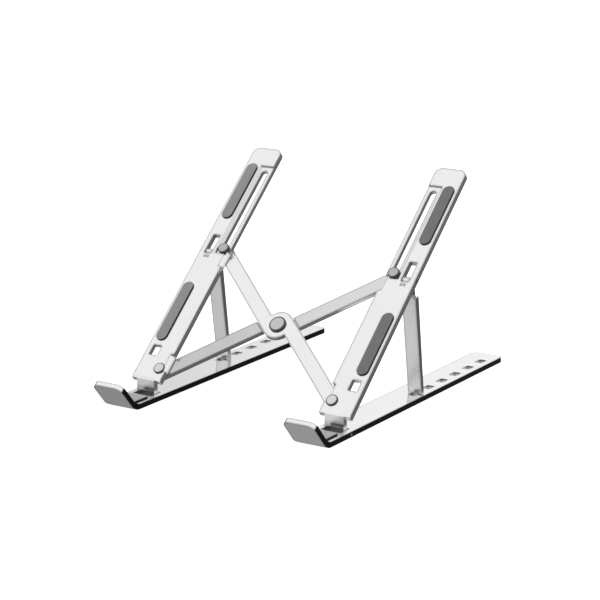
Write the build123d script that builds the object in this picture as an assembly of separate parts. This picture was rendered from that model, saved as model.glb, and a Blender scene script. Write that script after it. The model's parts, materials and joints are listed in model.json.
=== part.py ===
from build123d import *
import math
import os

os.makedirs("parts", exist_ok=True)

# Folding laptop stand: two side assemblies joined by a crossed pair of bars.
# X runs from the left side to the right, Y from the hooks to the rear, Z up.
# The origin is the middle of the footprint, on the surface the stand rests on.
# Every piece is built for the right side and mirrored for the left.
# Along an arm, s is the distance from its root and h the height above its face.

# --- overall layout ---
overall_width = 164.2
rail_width = 22.5
rail_thickness = 3.5
rail_rear_y = 121.1
foot_proud = 0.5
overcut = 1.0

# --- hook at the front of each rail ---
hook_tip_y = -121.1
hook_tip_height = 17.75
hook_slope_deg = 49.05
hook_bend_outer_radius = 10.0
hook_corner_radius = 5.0
rail_rear_corner_radius = 4.0

# --- silicone strip inside the hook ---
hook_pad_width = 15.0
hook_pad_thickness = 1.1
hook_pad_seat_end_y = -87.6
hook_pad_top_margin = 3.4

# --- height slots in the rails ---
slot_count = 6
slot_pitch = 18.1
slot_rearmost_y = 105.3
slot_length = 7.7
slot_width = 4.8
slot_from_outer = 7.0
slot_corner_radius = 0.5

# --- base hinge ---
hinge_y = -78.0
hinge_pin_radius = 0.95
hinge_pin_blind = 3.0
hinge_pin_sunk = 0.1
running_clearance = 0.05
neck_opening_front_y = -84.0
neck_opening_rear_y = -73.4
neck_opening_side_gap = 0.3

# --- arms ---
arm_angle_deg = 41.68
arm_root_y = -79.71
arm_root_height = 12.77
arm_length = 192.5
arm_thickness = 3.8
arm_tip_radius = 5.0
neck_width = 13.6
neck_front_y = -79.9
neck_eye_radius = 1.7
neck_root_reach = 3.0
neck_root_drop = 0.15
neck_root_inset = 0.02

# --- long slot with its shallow recess, beside the inner edge of each arm ---
pivot_from_inner = 5.35
guide_width = 4.5
guide_top = 174.0
guide_end_gap = 0.1
recess_depth = 1.0
recess_width = 9.6
recess_bottom = 102.5
recess_top = 177.6

# --- windows in the outer half of each arm ---
window_from_outer = 7.0
mid_window_width = 5.4
mid_window_bottom = 101.7
mid_window_top = 116.9
low_window_width = 6.2
low_window_bottom = 18.4
low_window_top = 26.1
window_corner_radius = 0.3

# --- bevels along the inner edge where the crossed bars come out ---
bevel_width = 2.8
bevel_height = 3.4
bevel_low = (8.0, 21.3)
bevel_high = (93.0, 105.4)

# --- silicone pads on the arms ---
pad_from_outer = 6.35
pad_width = 8.0
pad_proud = 1.2
pad_inset = 0.6
pad_edge_break = 0.25
pad_low = (29.9, 76.9)
pad_high = (131.0, 178.1)

# --- crossed bars ---
low_pivot_s = 9.4
high_pivot_s = 107.1
bar_gap = 0.3
bar_thickness = 3.0
bar_width = 10.0
bar_centre_offset = 5.2
bar_boss_radius = 10.1
lap_gap = 0.3
lap_margin = 0.35

# --- rivets and guide pins ---
rivet_shank_radius = 2.15
rivet_head_radius = 3.9
rivet_head_height = 0.95
guide_head_height = 1.75
guide_head_gap = 0.1
centre_shank_radius = 2.6
centre_head_radius = 5.6
centre_head_height = 1.35
rivet_head_break = 0.3

# --- struts ---
strut_pin_s = 104.0
strut_pin_depth = 1.9
strut_pin_radius = 0.8
strut_pin_hole_end = 13.0
strut_pin_end_gap = 0.1
strut_pin_sunk = 0.9
strut_lean_deg = 8.4
strut_top_thickness = 4.1
strut_foot_thickness = 3.1
strut_face_offset = 1.5
strut_width = 10.0
strut_from_outer = 7.4
strut_tongue_width = 4.8
strut_knuckle_radius = 1.72
knuckle_rise = 1.2
knuckle_front_inset = 0.3
knuckle_neck_inset = 0.4
knuckle_neck_down = 2.6
knuckle_back_inset = 2.8
knuckle_heel_down = 2.0
knuckle_heel_inset = 0.6
blade_overlap = 1.0
blade_overlap_inset = 0.1
strut_shoulder = 12.0
strut_rail_gap = 0.3
foot_tongue_width = 4.0
foot_tongue_thickness = 2.4
foot_tongue_gap = 0.5
foot_tongue_corner_radius = 0.6
stow_channel_depth = 0.8
stow_channel_width = 10.6
stow_channel = (20.0, 102.0)

# --- feet under the rails ---
foot_width = 16.0
foot_inset = 0.6
foot_front = (-99.5, -87.0)
foot_rear = (107.8, 118.2)

# --- positions that follow from the above ---
outer_x = overall_width / 2
inner_x = outer_x - rail_width
rail_mid_x = outer_x - rail_width / 2
rail_bottom = foot_proud
rail_top = foot_proud + rail_thickness
hinge_z = rail_bottom + rail_thickness / 2
arm_angle = math.radians(arm_angle_deg)
arm_frame = Plane(
    origin=(0, arm_root_y, rail_bottom + arm_root_height),
    x_dir=(1, 0, 0),
    z_dir=(0, -math.sin(arm_angle), math.cos(arm_angle)),
)
pivot_x = inner_x + pivot_from_inner
half_span = math.hypot(pivot_x, (high_pivot_s - low_pivot_s) / 2)
span_angle = math.degrees(math.atan2((high_pivot_s - low_pivot_s) / 2, pivot_x))
cross_s = (low_pivot_s + high_pivot_s) / 2
guide_bottom = high_pivot_s - guide_width / 2 - guide_end_gap
bevel_slope = bevel_height / bevel_width
arm_under = -arm_thickness - overcut
bar_top = -arm_thickness - bar_gap
bar_bottom = bar_top - bar_thickness
bar_mid = (bar_top + bar_bottom) / 2
bar_over = bar_top + overcut
bar_under = bar_bottom - overcut


def yz_solid(points, x_from, x_to, rounds=()):
    """Solid with a side outline in Y and Z; rounds are (corner index, radius)."""
    outline = make_face(Polyline(*points, close=True))
    for index, radius in rounds:
        corner = Vector(*points[index])
        vertex = outline.vertices().sort_by_distance(corner)[0]
        outline = fillet(vertex, radius)
    placed = Plane.YZ.offset(x_from) * outline
    return extrude(placed, amount=x_to - x_from)


def slab(x_mid, x_size, y_from, y_to, z_from, z_to):
    """Box from its middle and size in X and its limits in Y and Z."""
    centre = Location((x_mid, (y_from + y_to) / 2, (z_from + z_to) / 2))
    return centre * Box(x_size, y_to - y_from, z_to - z_from)


def window(x_mid, x_size, y_from, y_to, z_from, z_to, radius):
    """Box with rounded upright corners, used to cut an opening."""
    block = slab(x_mid, x_size, y_from, y_to, z_from, z_to)
    return fillet(block.edges().filter_by(Axis.Z), radius)


def stadium(x_mid, width, y_from, y_to, z_from, z_to):
    """Round-ended strip along Y."""
    base = Plane.XY.offset(z_from) * Location((x_mid, (y_from + y_to) / 2, 0), (0, 0, 90))
    return extrude(base * SlotOverall(y_to - y_from, width), amount=z_to - z_from)


def cylinder_x(radius, x_from, x_to, y, z):
    """Round bar along X."""
    return extrude(Plane.YZ.offset(x_from) * Location((y, z, 0)) * Circle(radius), amount=x_to - x_from)


def disc(x, y, radius, z_from, z_to):
    """Round bar along Z."""
    return extrude(Plane.XY.offset(z_from) * Location((x, y, 0)) * Circle(radius), amount=z_to - z_from)


def headed_pin(x, y, shank_radius, shank_bottom, head_bottom, head_radius, head_top):
    """Shank with one low head whose upper rim is broken."""
    head = disc(x, y, head_radius, head_bottom, head_top)
    rim = head.edges().group_by(Axis.Z)[-1]
    return disc(x, y, shank_radius, shank_bottom, head_bottom) + chamfer(rim, rivet_head_break)


def in_arm_frame(shape):
    """Move a piece drawn flat (Y along the arm, Z out of its face) onto the arm."""
    return arm_frame.location * shape


def arm_point(s, h):
    """Y and Z of a point s along the arm and h above its face."""
    y = arm_root_y + s * math.cos(arm_angle) - h * math.sin(arm_angle)
    z = rail_bottom + arm_root_height + s * math.sin(arm_angle) + h * math.cos(arm_angle)
    return y, z


# --- base rail with its hook, one bent plate ---
hook_slope = math.radians(hook_slope_deg)
hook_run = math.cos(hook_slope) / math.sin(hook_slope)
tip_z = rail_bottom + hook_tip_height
hook_normal = (math.sin(hook_slope), math.cos(hook_slope))
tip_inner = (
    hook_tip_y + rail_thickness * hook_normal[0],
    tip_z + rail_thickness * hook_normal[1],
)
bend_outer_y = hook_tip_y + (tip_z - rail_bottom) * hook_run
bend_inner_y = tip_inner[0] + (tip_inner[1] - rail_top) * hook_run
rail_outline = [
    (rail_rear_y, rail_bottom),
    (bend_outer_y, rail_bottom),
    (hook_tip_y, tip_z),
    tip_inner,
    (bend_inner_y, rail_top),
    (rail_rear_y, rail_top),
]
bend_inner_radius = hook_bend_outer_radius - rail_thickness
base_rail = yz_solid(
    rail_outline,
    inner_x,
    outer_x,
    [(1, hook_bend_outer_radius), (4, bend_inner_radius)],
)
rear_corners = base_rail.edges().filter_by(Axis.Z).group_by(Axis.Y)[-1]
base_rail = fillet(rear_corners, rail_rear_corner_radius)
tip_mid = Vector(rail_mid_x, (hook_tip_y + tip_inner[0]) / 2, (tip_z + tip_inner[1]) / 2)
tip_corners = (
    base_rail.edges()
    .filter_by(lambda e: abs(e.length - rail_thickness) < 0.01)
    .sort_by_distance(tip_mid)[:2]
)
base_rail = fillet(tip_corners, hook_corner_radius)

for k in range(slot_count):
    slot_rear = slot_rearmost_y - k * slot_pitch
    base_rail -= window(
        outer_x - slot_from_outer, slot_width, slot_rear - slot_length, slot_rear,
        rail_bottom - overcut, rail_top + overcut, slot_corner_radius,
    )
base_rail -= window(
    rail_mid_x, neck_width + 2 * neck_opening_side_gap, neck_opening_front_y,
    neck_opening_rear_y, rail_bottom - overcut, rail_top + overcut, slot_corner_radius,
)
base_rail -= cylinder_x(
    hinge_pin_radius, inner_x + hinge_pin_blind, outer_x + overcut, hinge_y, hinge_z
)
for span in (foot_front, foot_rear):
    base_rail -= slab(
        rail_mid_x, foot_width, span[0], span[1], rail_bottom - overcut, rail_bottom + foot_inset
    )

# --- feet, hinge pin and hook strip ---
foot_front_piece = slab(rail_mid_x, foot_width, foot_front[0], foot_front[1], 0, rail_bottom + foot_inset)
foot_rear_piece = slab(rail_mid_x, foot_width, foot_rear[0], foot_rear[1], 0, rail_bottom + foot_inset)
hinge_pin = cylinder_x(
    hinge_pin_radius, inner_x + hinge_pin_blind, outer_x - hinge_pin_sunk, hinge_y, hinge_z
)

strip_top = (
    tip_inner[0] + hook_pad_top_margin * math.cos(hook_slope),
    tip_inner[1] - hook_pad_top_margin * math.sin(hook_slope),
)
strip_top_face = (
    strip_top[0] + hook_pad_thickness * hook_normal[0],
    strip_top[1] + hook_pad_thickness * hook_normal[1],
)
seat_top = rail_top + hook_pad_thickness
strip_bend_y = strip_top_face[0] + (strip_top_face[1] - seat_top) * hook_run
strip_outline = [
    strip_top,
    (bend_inner_y, rail_top),
    (hook_pad_seat_end_y, rail_top),
    (hook_pad_seat_end_y, seat_top),
    (strip_bend_y, seat_top),
    strip_top_face,
]
hook_pad = yz_solid(
    strip_outline,
    rail_mid_x - hook_pad_width / 2,
    rail_mid_x + hook_pad_width / 2,
    [(1, bend_inner_radius), (4, bend_inner_radius - hook_pad_thickness)],
)

# --- arm, drawn flat with its upper face at Z = 0 ---
arm = slab(rail_mid_x, rail_width, 0, arm_length, -arm_thickness, 0)
tip_edges = arm.edges().filter_by(Axis.Z).group_by(Axis.Y)[-1]
arm = fillet(tip_edges, arm_tip_radius)
recess_profile = [
    (inner_x - overcut, -recess_depth),
    (inner_x + recess_width, -recess_depth),
    (inner_x + recess_width + recess_depth + overcut, overcut),
    (inner_x - overcut, overcut),
]
recess_face = make_face(Polyline(*recess_profile, close=True))
recess_plane = Plane(origin=(0, recess_top, 0), x_dir=(1, 0, 0), z_dir=(0, -1, 0))
arm -= extrude(recess_plane * recess_face, amount=recess_top - recess_bottom)
arm -= stadium(pivot_x, guide_width, guide_bottom, guide_top, arm_under, overcut)
arm -= window(
    outer_x - window_from_outer, mid_window_width, mid_window_bottom, mid_window_top,
    arm_under, overcut, window_corner_radius,
)
arm -= window(
    outer_x - window_from_outer, low_window_width, low_window_bottom, low_window_top,
    arm_under, overcut, window_corner_radius,
)
arm -= slab(
    outer_x - strut_from_outer, stow_channel_width, stow_channel[0], stow_channel[1],
    arm_under, -arm_thickness + stow_channel_depth,
)
for span in (bevel_low, bevel_high):
    bevel_profile = [
        (inner_x - overcut, -bevel_height - overcut * bevel_slope),
        (inner_x + bevel_width + overcut, overcut * bevel_slope),
        (inner_x - overcut, overcut * bevel_slope),
    ]
    bevel_face = make_face(Polyline(*bevel_profile, close=True))
    bevel_plane = Plane(origin=(0, span[1], 0), x_dir=(1, 0, 0), z_dir=(0, -1, 0))
    arm -= extrude(bevel_plane * bevel_face, amount=span[1] - span[0])
arm -= disc(pivot_x, low_pivot_s, rivet_shank_radius, arm_under, overcut)
for span in (pad_low, pad_high):
    arm -= stadium(outer_x - pad_from_outer, pad_width, span[0], span[1], -pad_inset, overcut)
arm -= cylinder_x(
    strut_pin_radius, outer_x - strut_pin_hole_end, outer_x + overcut, strut_pin_s, -strut_pin_depth
)
arm = in_arm_frame(arm)

# --- neck that turns down from the arm into the rail, with the hinge eye ---
neck_rear_y = neck_front_y + arm_thickness
root_top = arm_point(0.0, -neck_root_inset)
root_reach = arm_point(neck_root_reach, -neck_root_inset)
root_under = arm_point(neck_root_reach, -arm_thickness + neck_root_inset)
neck_under_z = root_under[1] - (root_under[0] - neck_rear_y) * math.tan(arm_angle)
neck_outline = [
    (neck_front_y, root_top[1] - neck_root_drop),
    (neck_front_y, hinge_z + neck_eye_radius),
    (hinge_y - neck_eye_radius, hinge_z),
    (hinge_y + neck_eye_radius, hinge_z),
    (neck_rear_y, hinge_z + neck_eye_radius),
    (neck_rear_y, neck_under_z),
    root_under,
    root_reach,
    root_top,
]
neck_x = (rail_mid_x - neck_width / 2, rail_mid_x + neck_width / 2)
neck = yz_solid(neck_outline, neck_x[0], neck_x[1])
neck += cylinder_x(neck_eye_radius, neck_x[0], neck_x[1], hinge_y, hinge_z)
arm += neck
arm -= cylinder_x(hinge_pin_radius + running_clearance, inner_x, outer_x, hinge_y, hinge_z)

# --- pads, lower rivet and strut pin carried by the arm ---
upper_pad = stadium(outer_x - pad_from_outer, pad_width, pad_high[0], pad_high[1], -pad_inset, pad_proud)
lower_pad = stadium(outer_x - pad_from_outer, pad_width, pad_low[0], pad_low[1], -pad_inset, pad_proud)
upper_pad = in_arm_frame(chamfer(upper_pad.edges().group_by(Axis.Z)[-1], pad_edge_break))
lower_pad = in_arm_frame(chamfer(lower_pad.edges().group_by(Axis.Z)[-1], pad_edge_break))
lower_rivet = in_arm_frame(
    headed_pin(
        pivot_x, low_pivot_s, rivet_shank_radius, bar_bottom, 0, rivet_head_radius, rivet_head_height
    )
)
strut_pin_end = outer_x - strut_pin_hole_end + strut_pin_end_gap
strut_pin = in_arm_frame(
    cylinder_x(
        strut_pin_radius, strut_pin_end, outer_x - strut_pin_sunk, strut_pin_s, -strut_pin_depth
    )
)

# --- strut, from its knuckle in the arm to its tongue in the rail ---
lean = math.radians(strut_lean_deg)
pin_y, pin_z = arm_point(strut_pin_s, -strut_pin_depth)


def strut_point(down, back):
    """Y and Z of a point measured from the strut pin, along the strut and rearward of it."""
    y = pin_y + back * math.cos(lean) + down * math.sin(lean)
    z = pin_z + back * math.sin(lean) - down * math.cos(lean)
    return y, z


strut_bottom_z = rail_top + strut_rail_gap
face_down = (pin_z + strut_face_offset * math.sin(lean) - strut_bottom_z) / math.cos(lean)
strut_back_top = strut_face_offset + strut_top_thickness
strut_back_foot = strut_face_offset + strut_foot_thickness
back_down = (pin_z + strut_back_foot * math.sin(lean) - strut_bottom_z) / math.cos(lean)
strut_x = outer_x - strut_from_outer
tongue_x = outer_x - window_from_outer
blade_outline = [
    strut_point(strut_shoulder, strut_face_offset),
    strut_point(face_down, strut_face_offset),
    strut_point(back_down, strut_back_foot),
    strut_point(strut_shoulder, strut_back_top),
]
strut = yz_solid(blade_outline, strut_x - strut_width / 2, strut_x + strut_width / 2)
tongue_outline = [
    strut_point(-knuckle_rise, strut_face_offset - knuckle_front_inset),
    strut_point(knuckle_rise, strut_face_offset - knuckle_neck_inset),
    strut_point(knuckle_neck_down, strut_face_offset),
    strut_point(strut_shoulder + blade_overlap, strut_face_offset),
    strut_point(strut_shoulder + blade_overlap, strut_back_top - blade_overlap_inset),
    strut_point(knuckle_heel_down, strut_back_top - knuckle_heel_inset),
    strut_point(-knuckle_rise, strut_back_top - knuckle_back_inset),
]
tongue_span = (tongue_x - strut_tongue_width / 2, tongue_x + strut_tongue_width / 2)
strut += yz_solid(tongue_outline, tongue_span[0], tongue_span[1])
strut += cylinder_x(strut_knuckle_radius, tongue_span[0], tongue_span[1], pin_y, pin_z)
strut -= cylinder_x(strut_pin_radius + running_clearance, inner_x, outer_x, pin_y, pin_z)
face_y = strut_point(face_down, strut_face_offset)[0]
foot_outline = [
    (face_y, strut_bottom_z + blade_overlap),
    (face_y, rail_bottom + foot_tongue_gap),
    (face_y + foot_tongue_thickness, rail_bottom + foot_tongue_gap),
    (face_y + foot_tongue_thickness, strut_bottom_z + blade_overlap),
]
foot_tongue = yz_solid(
    foot_outline, tongue_x - foot_tongue_width / 2, tongue_x + foot_tongue_width / 2,
    [(1, foot_tongue_corner_radius), (2, foot_tongue_corner_radius)],
)
strut += foot_tongue

# --- crossed bars, drawn flat under the arms ---


def bar_face(direction, grow):
    """Outline of a bar: two straight halves set to opposite sides of a round centre."""
    centre = Location((0, cross_s, 0))
    turn = span_angle if direction > 0 else 180 - span_angle
    flare = math.degrees(math.atan2(bar_centre_offset, half_span))
    reach = math.hypot(bar_centre_offset, half_span)
    shape = Circle(bar_boss_radius + grow)
    for half in (0, 180):
        end = Location((0, 0, 0), (0, 0, half)) * Location((half_span, 0, 0))
        strip_turn = Location((0, 0, 0), (0, 0, half + flare * direction))
        strip = Rectangle(reach, bar_width + 2 * grow, align=(Align.MAX, Align.CENTER))
        shape += end * Circle(bar_width / 2 + grow)
        shape += Location(end.position) * strip_turn * strip
    return centre * Location((0, 0, 0), (0, 0, turn)) * shape


def layer(face, z_from, z_to):
    """Flat outline turned into a plate between two levels."""
    return extrude(Plane.XY.offset(z_from) * face, amount=z_to - z_from)


bar_a_face = bar_face(1, 0)
bar_b_face = bar_face(-1, 0)
bar_a = layer(bar_a_face, bar_bottom, bar_top)
bar_b = layer(bar_b_face, bar_bottom, bar_top)
cut_for_b = layer(bar_face(-1, lap_margin), bar_mid - lap_gap / 2, bar_over)
cut_for_b += disc(0, cross_s, bar_boss_radius + lap_margin, bar_mid - lap_gap / 2, bar_over)
cut_for_a = layer(bar_face(1, lap_margin), bar_under, bar_mid + lap_gap / 2)
cut_for_a += disc(0, cross_s, bar_boss_radius + lap_margin, bar_under, bar_mid + lap_gap / 2)
bar_a -= cut_for_b
bar_b -= cut_for_a
end_clear = rivet_shank_radius + running_clearance
bar_a -= disc(-pivot_x, low_pivot_s, end_clear, bar_under, bar_over)
bar_a -= disc(pivot_x, high_pivot_s, rivet_shank_radius, bar_under, bar_over)
bar_a -= disc(0, cross_s, centre_shank_radius + running_clearance, bar_under, bar_over)
bar_b -= disc(pivot_x, low_pivot_s, end_clear, bar_under, bar_over)
bar_b -= disc(-pivot_x, high_pivot_s, rivet_shank_radius, bar_under, bar_over)
bar_b -= disc(0, cross_s, centre_shank_radius, bar_under, bar_over)
bar_a = in_arm_frame(bar_a)
bar_b = in_arm_frame(bar_b)
centre_rivet = in_arm_frame(
    headed_pin(
        0, cross_s, centre_shank_radius, bar_bottom, bar_top, centre_head_radius,
        bar_top + centre_head_height,
    )
)
guide_head_bottom = -recess_depth + guide_head_gap
guide_pin = in_arm_frame(
    headed_pin(
        pivot_x, high_pivot_s, rivet_shank_radius, bar_bottom, guide_head_bottom,
        rivet_head_radius, guide_head_bottom + guide_head_height,
    )
)

# --- write every piece ---
side_pieces = {
    "base_rail": base_rail,
    "hook_pad": hook_pad,
    "foot_front": foot_front_piece,
    "foot_rear": foot_rear_piece,
    "hinge_pin": hinge_pin,
    "arm": arm,
    "upper_pad": upper_pad,
    "lower_pad": lower_pad,
    "lower_rivet": lower_rivet,
    "strut_pin": strut_pin,
    "strut": strut,
    "guide_pin": guide_pin,
}
for name, piece in side_pieces.items():
    export_step(piece, f"parts/right_{name}.step")
    export_step(mirror(piece, about=Plane.YZ), f"parts/left_{name}.step")
for name, piece in {"bar_a": bar_a, "bar_b": bar_b, "centre_rivet": centre_rivet}.items():
    export_step(piece, f"parts/{name}.step")
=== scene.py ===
import json
import math

import bmesh
import bpy
from mathutils import Matrix, Vector

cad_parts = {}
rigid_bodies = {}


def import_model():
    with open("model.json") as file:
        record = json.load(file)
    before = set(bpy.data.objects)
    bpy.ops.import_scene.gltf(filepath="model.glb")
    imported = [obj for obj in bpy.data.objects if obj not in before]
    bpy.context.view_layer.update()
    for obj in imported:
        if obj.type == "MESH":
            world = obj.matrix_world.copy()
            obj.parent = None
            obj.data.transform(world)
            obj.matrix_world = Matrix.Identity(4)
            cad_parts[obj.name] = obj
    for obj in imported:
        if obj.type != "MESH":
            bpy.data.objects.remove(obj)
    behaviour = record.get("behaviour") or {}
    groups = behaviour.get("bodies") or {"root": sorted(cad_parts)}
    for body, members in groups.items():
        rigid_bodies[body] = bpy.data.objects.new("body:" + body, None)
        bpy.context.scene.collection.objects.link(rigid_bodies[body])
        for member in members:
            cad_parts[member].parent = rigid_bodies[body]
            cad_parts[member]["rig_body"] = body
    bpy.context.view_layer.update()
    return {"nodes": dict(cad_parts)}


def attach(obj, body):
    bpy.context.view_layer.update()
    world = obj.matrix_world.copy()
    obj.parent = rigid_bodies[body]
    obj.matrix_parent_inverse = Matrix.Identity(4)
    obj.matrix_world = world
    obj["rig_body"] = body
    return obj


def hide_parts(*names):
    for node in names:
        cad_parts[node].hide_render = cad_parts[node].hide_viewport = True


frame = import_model()
MM = 0.001
SIDES = ("left", "right")
BODY_OF = {node: obj["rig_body"] for node, obj in frame["nodes"].items()}

# The arms' own directions: across, up along the arm, and out of its upper face.
ARM_ANGLE = math.radians(41.68)
ACROSS = Vector((1, 0, 0))
ALONG = Vector((0, math.cos(ARM_ANGLE), math.sin(ARM_ANGLE)))
OUT = Vector((0, -math.sin(ARM_ANGLE), math.cos(ARM_ANGLE)))


def reach(node, axis):
    """How far a CAD node extends along a direction, lowest and highest."""
    values = [v.co.dot(axis) for v in frame["nodes"][node].data.vertices]
    return min(values), max(values)


# ---------------------------------------------------------------- materials
FACE_MARGIN = 0.5 * MM
ROUNDED_FROM, ROUNDED_TO = 0.84, 0.96
EDGE_RADIUS = 2.8 * MM
EDGE_SAMPLES = 6
CLOUD_SIZE = 26 * MM
GRAIN_SIZE = 0.35 * MM
STREAK_SIZE = 4 * MM


class Nodes:
    """Short calls for building one material's node tree."""

    def __init__(self, name):
        self.material = bpy.data.materials.new(name)
        self.material.use_nodes = True
        self.tree = self.material.node_tree
        self.tree.nodes.clear()
        self.shader = self.add("ShaderNodeBsdfPrincipled")
        out = self.add("ShaderNodeOutputMaterial")
        self.join(self.shader, "BSDF", out, "Surface")
        self.place = self.add("ShaderNodeTexCoord")

    def add(self, kind, **settings):
        node = self.tree.nodes.new(kind)
        for key, value in settings.items():
            setattr(node, key, value)
        return node

    def join(self, a, a_out, b, b_in):
        self.tree.links.new(a.outputs[a_out], b.inputs[b_in])

    def spread(self, scale=(1, 1, 1), turn=(0, 0, 0)):
        """Object coordinates, turned and stretched."""
        mapping = self.add("ShaderNodeMapping")
        mapping.inputs["Scale"].default_value = scale
        mapping.inputs["Rotation"].default_value = turn
        self.join(self.place, "Object", mapping, "Vector")
        return mapping

    def noise(self, size, detail=3.0, rough=0.55, scale=(1, 1, 1), turn=(0, 0, 0)):
        """Noise whose features are about size metres across."""
        node = self.add("ShaderNodeTexNoise")
        node.inputs["Scale"].default_value = 1 / size
        node.inputs["Detail"].default_value = detail
        node.inputs["Roughness"].default_value = rough
        self.join(self.spread(scale, turn), "Vector", node, "Vector")
        return node

    def span(self, source, out, low, high, from_low=0.3, from_high=0.7):
        node = self.add("ShaderNodeMapRange")
        node.inputs["From Min"].default_value = from_low
        node.inputs["From Max"].default_value = from_high
        node.inputs["To Min"].default_value = low
        node.inputs["To Max"].default_value = high
        self.join(source, out, node, "Value")
        return node

    def facing(self, axis, low, high, both=False):
        """0 to 1 as the surface turns towards axis; both counts the opposite way too."""
        dot = self.add("ShaderNodeVectorMath", operation="DOT_PRODUCT")
        self.join(self.place, "Normal", dot, 0)
        dot.inputs[1].default_value = axis
        if not both:
            return self.span(dot, "Value", 0.0, 1.0, low, high)
        size = self.add("ShaderNodeMath", operation="ABSOLUTE")
        self.join(dot, "Value", size, 0)
        return self.span(size, "Value", 0.0, 1.0, low, high)

    def ramp(self, axis, start, end, low, high):
        """Low to high between two places, in metres, along an object direction."""
        place = self.add("ShaderNodeVectorMath", operation="DOT_PRODUCT")
        self.join(self.place, "Object", place, 0)
        place.inputs[1].default_value = axis
        return self.span(place, "Value", low, high, start, end)

    def off_middle(self, middle, half):
        """1 where a place is further than half, in metres, from a piece's middle across, on either side."""
        across = self.add("ShaderNodeVectorMath", operation="DOT_PRODUCT")
        self.join(self.place, "Object", across, 0)
        across.inputs[1].default_value = ACROSS
        size = self.add("ShaderNodeMath", operation="ABSOLUTE")
        self.join(across, "Value", size, 0)
        gap = self.add("ShaderNodeMath", operation="SUBTRACT")
        self.join(size, "Value", gap, 0)
        gap.inputs[1].default_value = middle
        far = self.add("ShaderNodeMath", operation="ABSOLUTE")
        self.join(gap, "Value", far, 0)
        return self.span(far, "Value", 0.0, 1.0, half - FACE_MARGIN, half)

    def edges(self, radius):
        """0 on flat faces, rising to 1 along edges, where a rounded normal leans off the face."""
        rounded = self.add("ShaderNodeBevel", samples=EDGE_SAMPLES)
        rounded.inputs["Radius"].default_value = radius
        face = self.add("ShaderNodeNewGeometry")
        dot = self.add("ShaderNodeVectorMath", operation="DOT_PRODUCT")
        self.join(rounded, "Normal", dot, 0)
        self.join(face, "Normal", dot, 1)
        return self.span(dot, "Value", 1.0, 0.0, ROUNDED_FROM, ROUNDED_TO)

    def both(self, a, b):
        """Product of two masks."""
        node = self.add("ShaderNodeMapRange")
        self.join(a, "Result", node, "Value")
        self.join(b, "Result", node, "To Max")
        return node

    def mix(self, kind, fac, a, b):
        node = self.add("ShaderNodeMix", data_type="RGBA", blend_type=kind)
        node.inputs["Factor"].default_value = 1.0
        if fac is not None:
            self.join(fac, "Result", node, "Factor")
        for key, value in ((6, a), (7, b)):
            if isinstance(value, tuple):
                node.inputs[key].default_value = (*value, 1)
            else:
                out = 2 if value.bl_idname == "ShaderNodeMix" else 0
                self.tree.links.new(value.outputs[out], node.inputs[key])
        return node

    def paint(self, colour):
        self.tree.links.new(colour.outputs[2], self.shader.inputs["Base Color"])

    def bump(self, source, out, strength, distance, under=None):
        node = self.add("ShaderNodeBump")
        node.inputs["Strength"].default_value = strength
        node.inputs["Distance"].default_value = distance
        self.join(source, out, node, "Height")
        if under is not None:
            self.join(under, "Normal", node, "Normal")
        self.join(node, "Normal", self.shader, "Normal")
        return node


def grey(value):
    return (value, value * 1.003, value * 1.008)


def metal(name, tone, painted_side_shade=None, side_axis=ACROSS, roughness=(0.16, 0.24), both=True,
          fade=None, painted_edge_shade=None, edge_from=None, side_from=None):
    """Bead-blasted, anodised metal, with faint clouding, fine grain and rubbed streaks.

    fade is (facing axis or None, ramp axis, start, end, low): a painted shade, where the tone falls to low
    at the start.
    The edge tone is a darker tone painted along the rounded edges as shade, which edge_from (axis, start,
    end) can hold back.
    side_from (middle, half) keeps the side tone, a painted shade, to the piece's outermost faces.
    """
    n = Nodes(name)
    n.shader.inputs["Metallic"].default_value = 1.0
    cloud = n.noise(CLOUD_SIZE, 4.0, 0.6)
    grain = n.noise(GRAIN_SIZE, 2.0, 0.6)
    streak = n.noise(STREAK_SIZE, 5.0, 0.7, scale=(9, 1, 1), turn=(0, 0, 0.2))
    base = n.mix("MIX", n.span(cloud, "Fac", 0.0, 1.0), grey(tone * 0.97), grey(tone))
    base = n.mix("MULTIPLY", None, base, n.span(grain, "Fac", 0.95, 1.0, 0.35, 0.65))
    # Faces turned along the side axis take a darker side tone: painted shade.
    if painted_side_shade is not None:
        mask = n.facing(side_axis, 0.86, 0.96, both) if both else n.facing(side_axis, 0.6, 0.2)
        if side_from is not None:
            mask = n.both(mask, n.off_middle(*side_from))
        side = n.mix("MULTIPLY", None, grey(painted_side_shade), n.span(cloud, "Fac", 0.9, 1.0))
        base = n.mix("MIX", mask, base, side)
    # Painted shade: rounded edges are darkened, standing in for the dark reflection along them.
    if painted_edge_shade is not None:
        mask = n.edges(EDGE_RADIUS)
        if edge_from is not None:
            mask = n.both(mask, n.ramp(*edge_from, 0.0, 1.0))
        edge_shade_colour = n.mix("MULTIPLY", None, grey(painted_edge_shade), n.span(cloud, "Fac", 0.85, 1.0))
        base = n.mix("MIX", mask, base, n.mix("DARKEN", None, base, edge_shade_colour))
    # Painted shade: the tone is darkened along a ramp.
    if fade is not None:
        faces, axis, start, end, low = fade
        mask = None if faces is None else n.facing(faces, 0.80, 0.95)
        base = n.mix("MULTIPLY", mask, base, n.ramp(axis, start, end, low, 1.0))
    n.paint(base)
    worn = n.add("ShaderNodeMath", operation="MULTIPLY")
    n.join(n.span(cloud, "Fac", roughness[0], roughness[1]), "Result", worn, 0)
    n.join(n.span(streak, "Fac", 0.90, 1.08, 0.35, 0.65), "Result", worn, 1)
    n.join(worn, "Value", n.shader, "Roughness")
    wide = n.bump(cloud, "Fac", 0.04, 0.0002)
    n.bump(grain, "Fac", 0.14, 0.00004, wide)
    return n.material


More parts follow.
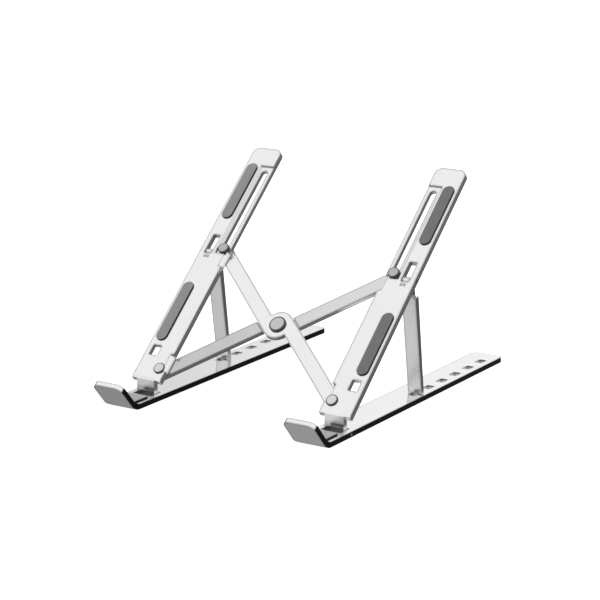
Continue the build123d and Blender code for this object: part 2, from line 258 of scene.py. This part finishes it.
def rubber(name, tone, painted_side_shade, top_axis, ribs=None, turn=(0, 0, 0), level=(0.55, 0.90)):
    """Matt moulded silicone: a dusty top face with fine diagonal ribs, and smoother sides painted far darker
    as shade.
    """
    n = Nodes(name)
    n.shader.inputs["IOR"].default_value = 1.42
    n.shader.inputs["Specular IOR Level"].default_value = 0.30
    cloud = n.noise(0.009, 3.0, 0.6)
    dust = n.noise(0.0004, 3.0, 0.7)
    base = n.mix("MIX", n.span(cloud, "Fac", 0.0, 1.0), grey(tone * 0.92), grey(tone))
    base = n.mix("MULTIPLY", None, base, n.span(dust, "Fac", 0.84, 1.0, 0.3, 0.7))
    height = dust
    if ribs:
        wave = n.add("ShaderNodeTexWave", wave_type="BANDS", bands_direction="X")
        wave.inputs["Scale"].default_value = 0.314 / ribs
        wave.inputs["Distortion"].default_value = 0.4
        n.join(n.spread(turn=turn), "Vector", wave, "Vector")
        base = n.mix("MULTIPLY", None, base, n.span(wave, "Fac", 0.80, 1.0, 0.0, 1.0))
        height = wave
    top = n.facing(top_axis, *level)
    # Faces turned from the top take the dark side tone: painted shade.
    n.paint(n.mix("MIX", top, grey(painted_side_shade), base))
    n.join(n.span(dust, "Fac", 0.60, 0.78), "Result", n.shader, "Roughness")
    wide = n.bump(height, "Fac", 0.35, 0.00012)
    n.bump(dust, "Fac", 0.30, 0.00006, wide)
    return n.material


ARM_LENGTH = 192.5 * MM
ARM_ROOT = reach("right_arm", ALONG)[1] - ARM_LENGTH
RAIL_X = reach("right_base_rail", ACROSS)
RAIL_FACES = (sum(RAIL_X) / 2, (RAIL_X[1] - RAIL_X[0]) / 2 - FACE_MARGIN)
# Painted shade: the arms' front faces darken towards the bottom of the neck, near the rail.
NECK_PAINTED_SHADE = ((0, -1, 0), (0, 0, 1), 2 * MM, 10 * MM, 0.10)
NECK_BEND = (ALONG, ARM_ROOT + 0.3 * MM, ARM_ROOT + 2.0 * MM)
# Painted shade on the lower bar: its tone falls towards its left end.
UNDER_BAR_PAINTED_SHADE = (None, ACROSS, -30 * MM, 30 * MM, 0.80)
# Arms and struts: darker side faces and darker edges are painted shade.
aluminium_arm = metal(
    "aluminium_arm", 0.90, painted_side_shade=0.74, fade=NECK_PAINTED_SHADE, painted_edge_shade=0.34, edge_from=NECK_BEND
)
aluminium_strut = metal("aluminium_strut", 0.93, painted_side_shade=0.46, roughness=(0.24, 0.32), painted_edge_shade=0.44)
aluminium_bar = metal("aluminium_bar", 0.90, painted_edge_shade=0.30)
# The lower bar is the bar aluminium in a darker tone: painted shade.
aluminium_under = metal("aluminium_under_bar_painted_shade", 0.74, fade=UNDER_BAR_PAINTED_SHADE, painted_edge_shade=0.26)
# The rails' near-black side faces are a painted dark reflection, and their darker edges are painted shade.
aluminium_rail = metal(
    "aluminium_rail", 0.92, painted_side_shade=0.03, roughness=(0.10, 0.16), painted_edge_shade=0.42, side_from=RAIL_FACES
)
steel = metal("steel_pin", 0.62, roughness=(0.22, 0.30))
RIVET_ROUGHNESS = (0.30, 0.38)
# Painted shade: the sides of the rivet heads go near black.
RIVET_SIDE_SHADE = 0.05
rivet_steel = {
    "centre_rivet": metal("steel_centre_rivet", 0.58, RIVET_SIDE_SHADE, OUT, RIVET_ROUGHNESS, both=False),
    "guide_pin": metal("steel_guide_pin", 0.50, RIVET_SIDE_SHADE, OUT, RIVET_ROUGHNESS, both=False),
    "lower_rivet": metal("steel_lower_rivet", 0.72, RIVET_SIDE_SHADE, OUT, RIVET_ROUGHNESS, both=False),
}
# Painted shade: a near-black rim material stands in for the gap shadow around the rivet heads.
rivet_rim_painted_shade = metal("steel_rivet_rim", 0.10, roughness=(0.35, 0.45))
# Painted shade: the pads' side faces go near black.
PAD_SIDE_SHADE = 0.012
PAD_RIB_PITCH = 0.9 * MM
PAD_RIB_TURN = (-ARM_ANGLE, 0, 0.8)
# One silicone for both sides: the left pads are painted lighter and the right darker, as painted light and
# shade.
pad_silicone = {
    "left": rubber("silicone_pad_left_painted_light", 0.27, PAD_SIDE_SHADE, OUT, PAD_RIB_PITCH, PAD_RIB_TURN),
    "right": rubber("silicone_pad_right_painted_shade", 0.17, PAD_SIDE_SHADE, OUT, PAD_RIB_PITCH, PAD_RIB_TURN),
}
# Hook strip and feet: faces turned from the top are painted near black as shade.
hook_silicone = rubber("silicone_hook", 0.42, 0.015, (0, 0, 1), level=(0.70, 0.95))
foot_rubber = rubber("rubber_foot", 0.035, 0.03, (0, 0, -1), 0.0012)
mark_ink = metal("etched_mark", 0.50, roughness=(0.50, 0.60))


# ---------------------------------------------------------------- pieces
WELD_DISTANCE = 2e-6
FLAT_ANGLE = math.radians(0.6)


def add_mesh(name, bm, material):
    bmesh.ops.recalc_face_normals(bm, faces=bm.faces)
    mesh = bpy.data.meshes.new(name)
    bm.to_mesh(mesh)
    bm.free()
    mesh.materials.append(material)
    for polygon in mesh.polygons:
        polygon.use_smooth = True
    obj = bpy.data.objects.new(name, mesh)
    bpy.context.scene.collection.objects.link(obj)
    return obj


def stand_for(obj, node):
    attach(obj, BODY_OF[node])
    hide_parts(node)


def soften(obj, width, segments=2, angle=24.0):
    """Rounds the hard edges of a mesh without touching the mesh itself."""
    weld = obj.modifiers.new("weld", "WELD")
    weld.merge_threshold = WELD_DISTANCE
    flat = obj.modifiers.new("flat", "DECIMATE")
    flat.decimate_type = "DISSOLVE"
    flat.angle_limit = FLAT_ANGLE
    rounding = obj.modifiers.new("rounding", "BEVEL")
    rounding.width = width
    rounding.segments = segments
    rounding.limit_method = "ANGLE"
    rounding.angle_limit = math.radians(angle)
    rounding.use_clamp_overlap = True
    shade = obj.modifiers.new("shade", "WEIGHTED_NORMAL")
    shade.keep_sharp = False
    shade.weight = 100


def rounded_pad(name, node, material, rim=0.5 * MM, crown=0.10 * MM, steps=20):
    """Round-ended pad: upright sides, a rolled rim and a slightly crowned top."""
    x_low, x_high = reach(node, ACROSS)
    s_low, s_high = reach(node, ALONG)
    h_low, h_high = reach(node, OUT)
    radius = (x_high - x_low) / 2
    middle = (x_low + x_high) / 2
    rings = [(radius, h_low), (radius, h_high - crown - rim)]
    for k in range(1, 7):
        a = k / 6 * math.pi / 2
        rings.append((radius - rim * (1 - math.cos(a)), h_high - crown - rim * (1 - math.sin(a))))
    flat = radius - rim
    for share in (0.8, 0.6, 0.4, 0.2, 0.05):
        rings.append((flat * share, h_high - crown * share * share))
    bm = bmesh.new()
    loops = []
    for ring_radius, height in rings:
        loop = []
        for end, centre in ((0, s_high - radius), (1, s_low + radius)):
            for k in range(steps + 1):
                a = math.pi * (k / steps + end)
                across = middle + ring_radius * math.cos(a)
                along = centre + ring_radius * math.sin(a)
                loop.append(bm.verts.new(ACROSS * across + ALONG * along + OUT * height))
        loops.append(loop)
    count = len(loops[0])
    for lower, upper in zip(loops, loops[1:]):
        for k in range(count):
            j = (k + 1) % count
            bm.faces.new((lower[k], lower[j], upper[j], upper[k]))
    bm.faces.new(loops[-1])
    bm.faces.new(loops[0][::-1])
    obj = add_mesh(name, bm, material)
    stand_for(obj, node)
    return obj


def turned(name, node, material, profile, steps=64):
    """Lathe-turned piece on a CAD rivet's axis; profile is (radius, height) from the axis outwards."""
    x_low, x_high = reach(node, ACROSS)
    s_low, s_high = reach(node, ALONG)
    centre = ACROSS * ((x_low + x_high) / 2) + ALONG * ((s_low + s_high) / 2)
    bm = bmesh.new()
    loops = []
    for ring_radius, height in profile:
        loop = []
        for k in range(steps):
            a = 2 * math.pi * k / steps
            place = centre + ACROSS * (ring_radius * math.cos(a)) + ALONG * (ring_radius * math.sin(a))
            loop.append(bm.verts.new(place + OUT * height))
        loops.append(loop)
    for lower, upper in zip(loops, loops[1:]):
        for k in range(steps):
            j = (k + 1) % steps
            bm.faces.new((lower[k], lower[j], upper[j], upper[k]))
    bm.faces.new(loops[0][::-1])
    bm.faces.new(loops[-1])
    obj = add_mesh(name, bm, material)
    stand_for(obj, node)
    return obj


def rivet(name, node, material, shank, head_height, rim=0.35 * MM):
    """Headed rivet: shank, square shoulder, rolled head rim and a slightly dished top."""
    low, high = reach(node, OUT)
    x_low, x_high = reach(node, ACROSS)
    head = (x_high - x_low) / 2
    under = high - head_height
    profile = [(shank - 0.25 * MM, low), (shank, low + 0.25 * MM), (shank, under)]
    profile += [(head - 0.08 * MM, under), (head, under + 0.08 * MM), (head, high - rim)]
    for k in range(1, 6):
        a = k / 5 * math.pi / 2
        profile.append((head - rim * (1 - math.cos(a)), high - rim * (1 - math.sin(a))))
    profile += [(head * 0.82, high), (head * 0.76, high - 0.06 * MM), (head * 0.06, high - 0.06 * MM)]
    obj = turned(name, node, material, profile)
    # The outer rim faces take the near-black painted shade.
    obj.data.materials.append(rivet_rim_painted_shade)
    centre = ACROSS * ((x_low + x_high) / 2) + ALONG * (sum(reach(node, ALONG)) / 2)
    for polygon in obj.data.polygons:
        away = polygon.center - centre
        away -= OUT * away.dot(OUT)
        if away.length > 0.82 * head and polygon.center.dot(OUT) > high - rim:
            polygon.material_index = 1
    return obj


def close_copy(name, node, material, width):
    """A piece with the CAD node's outline, its edges rolled over as moulding leaves them."""
    bm = bmesh.new()
    bm.from_mesh(frame["nodes"][node].data)
    bmesh.ops.remove_doubles(bm, verts=bm.verts, dist=WELD_DISTANCE)
    obj = add_mesh(name, bm, material)
    soften(obj, width, 3, 30.0)
    stand_for(obj, node)
    return obj


SHANK = 2.15 * MM
CENTRE_SHANK = 2.6 * MM
LOWER_HEAD = 0.95 * MM
GUIDE_HEAD = 1.75 * MM
CENTRE_HEAD = 1.35 * MM
BAR_ROUNDING = 0.25 * MM
PLAIN = {
    "base_rail": (aluminium_rail, 0.15 * MM),
    "arm": (aluminium_arm, 0.15 * MM),
    "strut": (aluminium_strut, 0.15 * MM),
    "hinge_pin": (steel, 0.10 * MM),
    "strut_pin": (steel, 0.10 * MM),
}
for side in SIDES:
    for kind, (material, width) in PLAIN.items():
        obj = frame["nodes"][f"{side}_{kind}"]
        obj.data.materials.clear()
        obj.data.materials.append(material)
        soften(obj, width)
    for kind in ("upper_pad", "lower_pad"):
        rounded_pad(f"{side}_{kind}_silicone", f"{side}_{kind}", pad_silicone[side])
    close_copy(f"{side}_hook_strip", f"{side}_hook_pad", hook_silicone, 0.3 * MM)
    for kind in ("foot_front", "foot_rear"):
        close_copy(f"{side}_{kind}_rubber", f"{side}_{kind}", foot_rubber, 0.2 * MM)
    rivet(f"{side}_lower_rivet_turned", f"{side}_lower_rivet", rivet_steel["lower_rivet"], SHANK, LOWER_HEAD)
    rivet(f"{side}_guide_pin_turned", f"{side}_guide_pin", rivet_steel["guide_pin"], SHANK, GUIDE_HEAD)
rivet("centre_rivet_turned", "centre_rivet", rivet_steel["centre_rivet"], CENTRE_SHANK, CENTRE_HEAD)
for bar, material in (("bar_a", aluminium_under), ("bar_b", aluminium_bar)):
    obj = frame["nodes"][bar]
    obj.data.materials.clear()
    obj.data.materials.append(material)
    soften(obj, BAR_ROUNDING)


PAD_PROUD = 1.2 * MM
LOWER_PAD_START = 29.9 * MM
MARK_FROM_OUTER = 7.2 * MM
MARK_ALONG = 99.2 * MM
MARK_OFFSETS = (-1.15 * MM, 1.15 * MM)
MARK_SIZE = (2.0 * MM, 2.4 * MM, 0.05 * MM)
MARK_CORNER = 0.35 * MM


def arm_mark(side):
    """A small plain etched mark beside the strut window: two short bars, no lettering."""
    node = f"{side}_arm"
    sign = 1 if side == "right" else -1
    outer = max(abs(v) for v in reach(node, ACROSS))
    top = reach(f"{side}_upper_pad", OUT)[1] - PAD_PROUD
    start = reach(f"{side}_lower_pad", ALONG)[0] - LOWER_PAD_START
    bm = bmesh.new()
    for offset in MARK_OFFSETS:
        across = sign * (outer - MARK_FROM_OUTER) + offset
        centre = ACROSS * across + ALONG * (start + MARK_ALONG) + OUT * top
        made = bmesh.ops.create_cube(bm, size=1.0)["verts"]
        turn = Matrix((ACROSS, ALONG, OUT)).transposed().to_4x4()
        sizes = Matrix.Diagonal((*MARK_SIZE, 1))
        bmesh.ops.transform(bm, matrix=Matrix.Translation(centre) @ turn @ sizes, verts=made)
    corners = [e for e in bm.edges if abs((e.verts[0].co - e.verts[1].co).normalized().dot(OUT)) > 0.9]
    bmesh.ops.bevel(bm, geom=corners, offset=MARK_CORNER, segments=4, affect="EDGES", profile=0.5)
    obj = add_mesh(f"{side}_arm_mark", bm, mark_ink)
    for polygon in obj.data.polygons:
        polygon.use_smooth = False
    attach(obj, BODY_OF[node])


for side in SIDES:
    arm_mark(side)

# ---------------------------------------------------------------- stage
FLOOR_SIZE = 60
FLOOR_TONE = 0.60
FLOOR_GLOW = 0.80
CAMERA_PLACE = (0.68543, -1.07610, 0.37955)
CAMERA_DOWN = 14.145
CAMERA_TURN = 32.674
SENSOR_WIDTH = 36.0
FOCAL_LENGTH = 121.92
bpy.ops.mesh.primitive_plane_add(size=FLOOR_SIZE)
floor = bpy.context.object
floor.name = "floor"
floor_look = Nodes("floor_paper")
floor_look.shader.inputs["Base Color"].default_value = (FLOOR_TONE, FLOOR_TONE, FLOOR_TONE, 1)
floor_look.shader.inputs["Roughness"].default_value = 0.9
floor_look.shader.inputs["Specular IOR Level"].default_value = 0.0
floor_look.shader.inputs["Emission Color"].default_value = (1, 1, 1, 1)
floor_look.shader.inputs["Emission Strength"].default_value = FLOOR_GLOW
grain = floor_look.noise(0.015)
floor_look.bump(grain, "Fac", 0.02, 0.0002)
floor.data.materials.append(floor_look.material)
floor.visible_glossy = False

camera_data = bpy.data.cameras.new("camera")
camera = bpy.data.objects.new("camera", camera_data)
bpy.context.scene.collection.objects.link(camera)
camera.location = CAMERA_PLACE
camera.rotation_euler = (math.radians(90 - CAMERA_DOWN), 0, math.radians(CAMERA_TURN))
camera_data.sensor_width = SENSOR_WIDTH
camera_data.lens = FOCAL_LENGTH
bpy.context.scene.camera = camera


def lamp(name, place, aim, size, power):
    """Soft panel that lights matt surfaces; metals mirror the studio surround instead."""
    data = bpy.data.lights.new(name, "AREA")
    data.shape = "RECTANGLE"
    data.size, data.size_y = size
    data.energy = power
    obj = bpy.data.objects.new(name, data)
    bpy.context.scene.collection.objects.link(obj)
    obj.location = place
    obj.visible_glossy = False
    obj.rotation_euler = (Vector(aim) - Vector(place)).to_track_quat("-Z", "Y").to_euler()
    return obj


lamp("overhead", (0.0, -0.1, 1.3), (0, 0, 0), (2.2, 2.2), 5)
lamp("front", (-0.9, -1.6, 0.9), (0, 0, 0.06), (1.2, 0.9), 4)

# Studio surround: bright above, falling off below the horizon, darkest to the right and behind.
SKY = 0.97
BELOW = 0.562
FALL = {"X": -0.174, "Y": -0.28, "Z": 0.30}
HORIZON = (0.02, 0.20)
LEFT_DIM = 0.62
LEFT_EDGE = (-0.66, -0.46)
LEFT_TOP = (0.42, 0.55)
world = bpy.data.worlds.new("studio")
bpy.context.scene.world = world
world.use_nodes = True
tree = world.node_tree
background = tree.nodes["Background"]
direction = tree.nodes.new("ShaderNodeTexCoord")
parts = tree.nodes.new("ShaderNodeSeparateXYZ")
tree.links.new(direction.outputs["Generated"], parts.inputs["Vector"])
total = None
for axis, amount in FALL.items():
    step = tree.nodes.new("ShaderNodeMath")
    step.operation = "MULTIPLY_ADD"
    tree.links.new(parts.outputs[axis], step.inputs[0])
    step.inputs[1].default_value = amount
    if total is None:
        step.inputs[2].default_value = BELOW
    else:
        tree.links.new(total, step.inputs[2])
    total = step.outputs[0]
above = tree.nodes.new("ShaderNodeMapRange")
above.interpolation_type = "SMOOTHSTEP"
above.inputs["From Min"].default_value, above.inputs["From Max"].default_value = HORIZON
tree.links.new(parts.outputs["Z"], above.inputs["Value"])
blend = tree.nodes.new("ShaderNodeMix")
blend.data_type = "FLOAT"
tree.links.new(above.outputs["Result"], blend.inputs["Factor"])
tree.links.new(total, blend.inputs["A"])
blend.inputs["B"].default_value = SKY

# Just above the horizon the far left is a little dimmer, which the left rail's top mirrors.
low_left = tree.nodes.new("ShaderNodeMapRange")
low_left.interpolation_type = "SMOOTHSTEP"
low_left.inputs["From Min"].default_value, low_left.inputs["From Max"].default_value = LEFT_EDGE
low_left.inputs["To Min"].default_value = LEFT_DIM
tree.links.new(parts.outputs["X"], low_left.inputs["Value"])
height = tree.nodes.new("ShaderNodeMapRange")
height.interpolation_type = "SMOOTHSTEP"
height.inputs["From Min"].default_value, height.inputs["From Max"].default_value = LEFT_TOP
tree.links.new(parts.outputs["Z"], height.inputs["Value"])
dim = tree.nodes.new("ShaderNodeMix")
dim.data_type = "FLOAT"
tree.links.new(height.outputs["Result"], dim.inputs["Factor"])
tree.links.new(low_left.outputs["Result"], dim.inputs["A"])
dim.inputs["B"].default_value = 1.0
level = tree.nodes.new("ShaderNodeMath")
level.operation = "MULTIPLY"
tree.links.new(blend.outputs["Result"], level.inputs[0])
tree.links.new(dim.outputs["Result"], level.inputs[1])
tree.links.new(level.outputs["Value"], background.inputs["Strength"])
background.inputs["Color"].default_value = (1, 1, 1, 1)
bpy.context.scene.view_settings.view_transform = "Standard"
